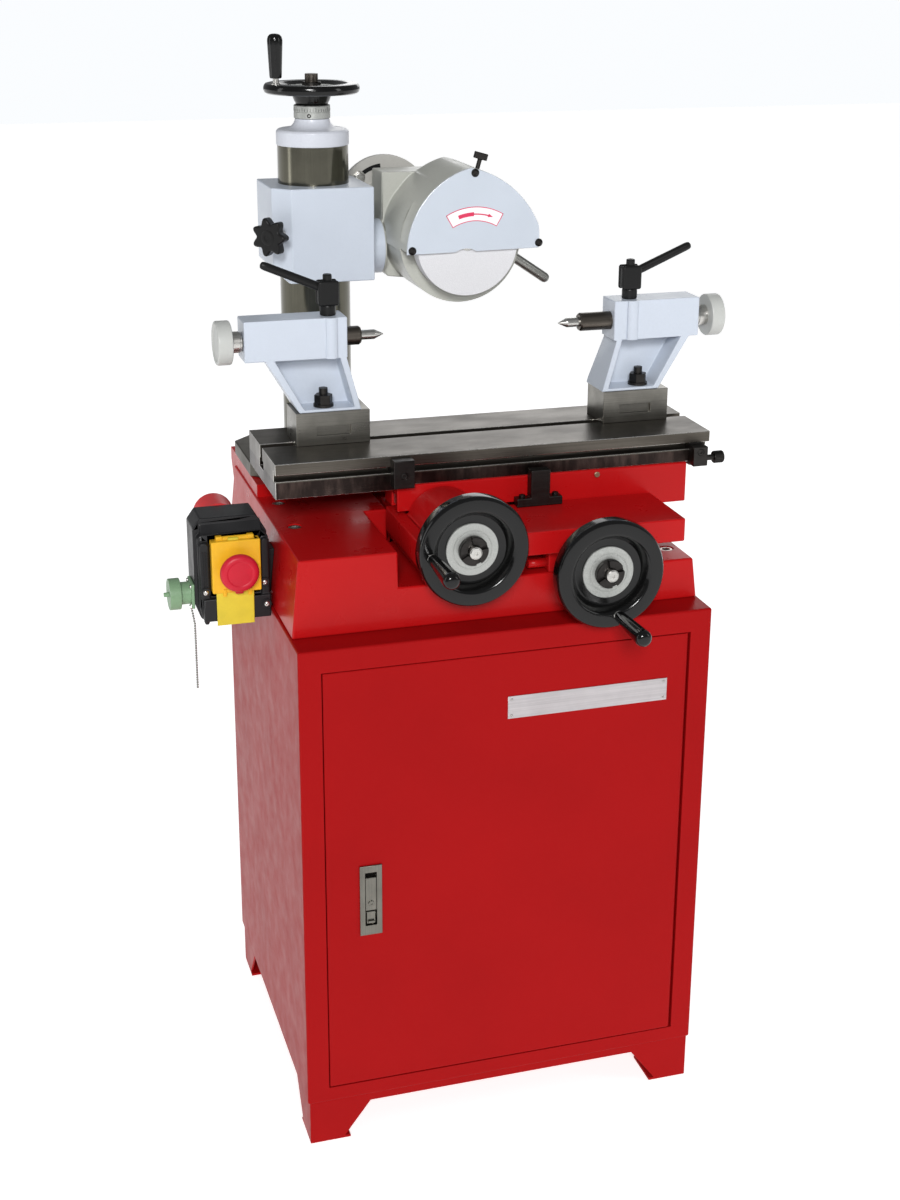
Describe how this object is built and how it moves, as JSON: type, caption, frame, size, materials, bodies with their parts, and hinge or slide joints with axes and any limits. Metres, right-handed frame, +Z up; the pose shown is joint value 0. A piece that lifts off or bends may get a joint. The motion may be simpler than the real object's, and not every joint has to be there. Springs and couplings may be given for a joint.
{
  "type": "tool and cutter grinder",
  "caption": "Tool and cutter grinder: guarded wheelhead on a lifting column, compound table with tailstocks, red sheet-steel cabinet.",
  "frame": {"origin": "on the floor, at the middle of the four floor-bolt holes, under the middle of the cabinet", "axes": "+X to the operator's right, +Y from the operator to the back, +Z up"},
  "size_m": [0.796, 0.665, 1.444],
  "materials": {
    "painted_red": "gloss",
    "painted_grey": "satin",
    "cast_grey": "satin",
    "bright_steel": "satin",
    "dark_steel": "satin",
    "bronze": "satin",
    "black_gloss": "gloss",
    "black_steel": "matte",
    "black_plastic": "satin",
    "belt_rubber": "matte",
    "abrasive": "matte",
    "yellow_plastic": "gloss",
    "red_plastic": "gloss",
    "green_plastic": "gloss",
    "green_paint": "satin"
  },
  "bodies": {
    "base": {"cabinet_shell": "painted_red", "cabinet_feet": "painted_red", "base_casting": "painted_red", "base_bolts": "dark_steel", "cross_bracket": "painted_red", "column_foot": "dark_steel", "switch_housing": "black_plastic", "power_inlet": "red_plastic", "chain_socket": "green_paint", "bead_chain": "bright_steel"},
    "door": {"cabinet_door": "painted_red", "latch_plate": "bright_steel", "nameplate": "bright_steel"},
    "latch": {"latch_paddle": "bright_steel"},
    "cross_feed": {"cross_screw": "bright_steel", "cross_handwheel": "black_gloss"},
    "cross_handle": {"cross_grip": "black_gloss"},
    "saddle": {"saddle": "painted_red", "saddle_gib": "bronze", "cross_nut": "bronze", "stop_dog": "black_steel"},
    "table_feed": {"pinion_shaft": "bright_steel", "table_handwheel": "black_gloss"},
    "table_handle": {"table_grip": "black_gloss"},
    "table": {"table_slide": "painted_red", "rack": "bright_steel", "work_table": "dark_steel", "table_stops": "black_steel"},
    "stop_screw": {"stop_thumb_screw": "black_steel"},
    "left_tail": {"left_tailstock": "painted_grey", "left_key_block": "bright_steel"},
    "left_point": {"left_centre": "bright_steel"},
    "left_screw": {"left_knob": "painted_grey"},
    "left_clamp": {"left_lever": "black_gloss"},
    "right_tail": {"right_tailstock": "painted_grey", "right_key_block": "bright_steel"},
    "right_point": {"right_centre": "bright_steel"},
    "right_screw": {"right_knob": "painted_grey"},
    "right_clamp": {"right_lever": "black_gloss"},
    "column": {"column_tube": "dark_steel", "column_cap": "painted_grey"},
    "lift_feed": {"lift_screw": "bright_steel", "lift_handwheel": "black_gloss"},
    "lift_handle": {"lift_grip": "black_gloss"},
    "head": {"head_block": "painted_grey"},
    "head_clamp": {"star_knob": "black_gloss"},
    "wheelhead": {"wheelhead_housing": "cast_grey", "guard_plate": "painted_grey", "guard_screws": "black_gloss", "head_handle": "bright_steel", "motor_body": "cast_grey", "drive_belt": "belt_rubber"},
    "guard_clamp": {"guard_thumb_screw": "black_gloss"},
    "wheel": {"spindle": "bright_steel", "grinding_wheel": "abrasive"},
    "rotor": {"motor_rotor": "bright_steel"},
    "cover": {"switch_cover": "yellow_plastic"},
    "mushroom": {"switch_mushroom": "red_plastic"},
    "start": {"start_button": "green_plastic"},
    "stop": {"stop_button": "red_plastic"}
  },
  "joints": [
    {"name": "door_swing", "type": "hinge", "parent": "base", "child": "door", "pos_m": [0.243, -0.239, 0.4], "axis": [0, 0, 1], "range_deg": [0, 95]},
    {"name": "latch_pull", "type": "hinge", "parent": "door", "child": "latch", "pos_m": [-0.19, -0.242, 0.4], "axis": [-1, 0, 0], "range_deg": [0, 50]},
    {"name": "saddle_travel", "type": "slide", "parent": "base", "child": "saddle", "axis": [0, 1, 0], "range_m": [-0.03, 0.02]},
    {"name": "cross_wheel_turn", "type": "hinge", "parent": "base", "child": "cross_feed", "pos_m": [0.12, -0.2, 0.8], "axis": [0, 1, 0], "range_deg": [-2700, 1800]},
    {"name": "cross_handle_spin", "type": "hinge", "parent": "cross_feed", "child": "cross_handle", "pos_m": [0.13068, -0.3, 0.74503], "axis": [0, -1, 0], "continuous": true},
    {"name": "table_travel", "type": "slide", "parent": "saddle", "child": "table", "axis": [1, 0, 0], "range_m": [-0.15, 0.05]},
    {"name": "table_wheel_turn", "type": "hinge", "parent": "saddle", "child": "table_feed", "pos_m": [-0.053, -0.2, 0.838], "axis": [0, 1, 0], "range_deg": [-573, 191]},
    {"name": "table_handle_spin", "type": "hinge", "parent": "table_feed", "child": "table_handle", "pos_m": [-0.10892, -0.3, 0.83507], "axis": [0, -1, 0], "continuous": true},
    {"name": "stop_screw_turn", "type": "hinge", "parent": "table", "child": "stop_screw", "pos_m": [0.31, -0.106, 0.89], "axis": [1, 0, 0], "range_deg": [-360, 360]},
    {"name": "left_tail_travel", "type": "slide", "parent": "table", "child": "left_tail", "axis": [1, 0, 0], "range_m": [-0.035, 0.08]},
    {"name": "left_point_travel", "type": "slide", "parent": "left_tail", "child": "left_point", "axis": [1, 0, 0], "range_m": [-0.006, 0.025]},
    {"name": "left_knob_turn", "type": "hinge", "parent": "left_tail", "child": "left_screw", "pos_m": [-0.3, -0.004, 1.067], "axis": [1, 0, 0], "range_deg": [-1080, 4500]},
    {"name": "left_clamp_swing", "type": "hinge", "parent": "left_tail", "child": "left_clamp", "pos_m": [-0.178, -0.004, 1.1], "axis": [0, 0, 1], "range_deg": [0, 60]},
    {"name": "right_tail_travel", "type": "slide", "parent": "table", "child": "right_tail", "axis": [1, 0, 0], "range_m": [-0.08, 0.025]},
    {"name": "right_point_travel", "type": "slide", "parent": "right_tail", "child": "right_point", "axis": [-1, 0, 0], "range_m": [-0.018, 0.01]},
    {"name": "right_knob_turn", "type": "hinge", "parent": "right_tail", "child": "right_screw", "pos_m": [0.35, -0.004, 1.067], "axis": [-1, 0, 0], "range_deg": [-3240, 1800]},
    {"name": "right_clamp_swing", "type": "hinge", "parent": "right_tail", "child": "right_clamp", "pos_m": [0.245, -0.004, 1.1], "axis": [0, 0, 1], "range_deg": [-60, 0]},
    {"name": "column_swing", "type": "hinge", "parent": "base", "child": "column", "pos_m": [-0.153, 0.185, 0.9], "axis": [0, 0, 1], "range_deg": [0, 60]},
    {"name": "head_lift", "type": "slide", "parent": "column", "child": "head", "axis": [0, 0, 1], "range_m": [-0.15, 0.045]},
    {"name": "lift_wheel_turn", "type": "hinge", "parent": "column", "child": "lift_feed", "pos_m": [-0.153, 0.185, 1.35], "axis": [0, 0, 1], "range_deg": [-18000, 5400]},
    {"name": "lift_handle_spin", "type": "hinge", "parent": "lift_feed", "child": "lift_handle", "pos_m": [-0.20609, 0.16568, 1.4], "axis": [0, 0, 1], "continuous": true},
    {"name": "head_clamp_turn", "type": "hinge", "parent": "head", "child": "head_clamp", "pos_m": [-0.2105, 0.1265, 1.183], "axis": [-0.7071, -0.7071, 0], "range_deg": [-180, 180]},
    {"name": "head_tilt", "type": "hinge", "parent": "head", "child": "wheelhead", "pos_m": [-0.07, 0.185, 1.152], "axis": [1, 0, 0], "range_deg": [-20, 0]},
    {"name": "guard_clamp_turn", "type": "hinge", "parent": "wheelhead", "child": "guard_clamp", "pos_m": [0.044, 0.06, 1.267], "axis": [0.2756, 0, 0.9613], "range_deg": [-180, 180]},
    {"name": "motor_spin", "type": "hinge", "parent": "wheelhead", "child": "rotor", "pos_m": [-0.035, 0.27, 1.203], "axis": [0, 1, 0], "continuous": true},
    {"name": "wheel_spin", "type": "hinge", "parent": "wheelhead", "child": "wheel", "pos_m": [0.028, 0.1, 1.173], "axis": [0, 1, 0], "continuous": true},
    {"name": "cover_open", "type": "hinge", "parent": "base", "child": "cover", "pos_m": [-0.325, -0.083, 0.827], "axis": [-1, 0, 0], "range_deg": [0, 100]},
    {"name": "mushroom_press", "type": "slide", "parent": "cover", "child": "mushroom", "axis": [0, 1, 0], "range_m": [0, 0.004], "stiffness_N_per_m": 500},
    {"name": "start_press", "type": "slide", "parent": "base", "child": "start", "axis": [0, 1, 0], "range_m": [0, 0.003], "stiffness_N_per_m": 500},
    {"name": "stop_press", "type": "slide", "parent": "base", "child": "stop", "axis": [0, 1, 0], "range_m": [0, 0.004], "stiffness_N_per_m": 500}
  ],
  "couplings": [
    {"joint": "cross_wheel_turn", "follows": "saddle_travel", "rad_per_m": 1570.8},
    {"joint": "table_wheel_turn", "follows": "table_travel", "rad_per_m": 66.667},
    {"joint": "left_knob_turn", "follows": "left_point_travel", "rad_per_m": 3141.6},
    {"joint": "right_knob_turn", "follows": "right_point_travel", "rad_per_m": 3141.6},
    {"joint": "lift_wheel_turn", "follows": "head_lift", "rad_per_m": 2094.4},
    {"joint": "wheel_spin", "follows": "motor_spin", "ratio": 1},
    {"joint": "stop_press", "follows": "mushroom_press", "ratio": 1}
  ]
}
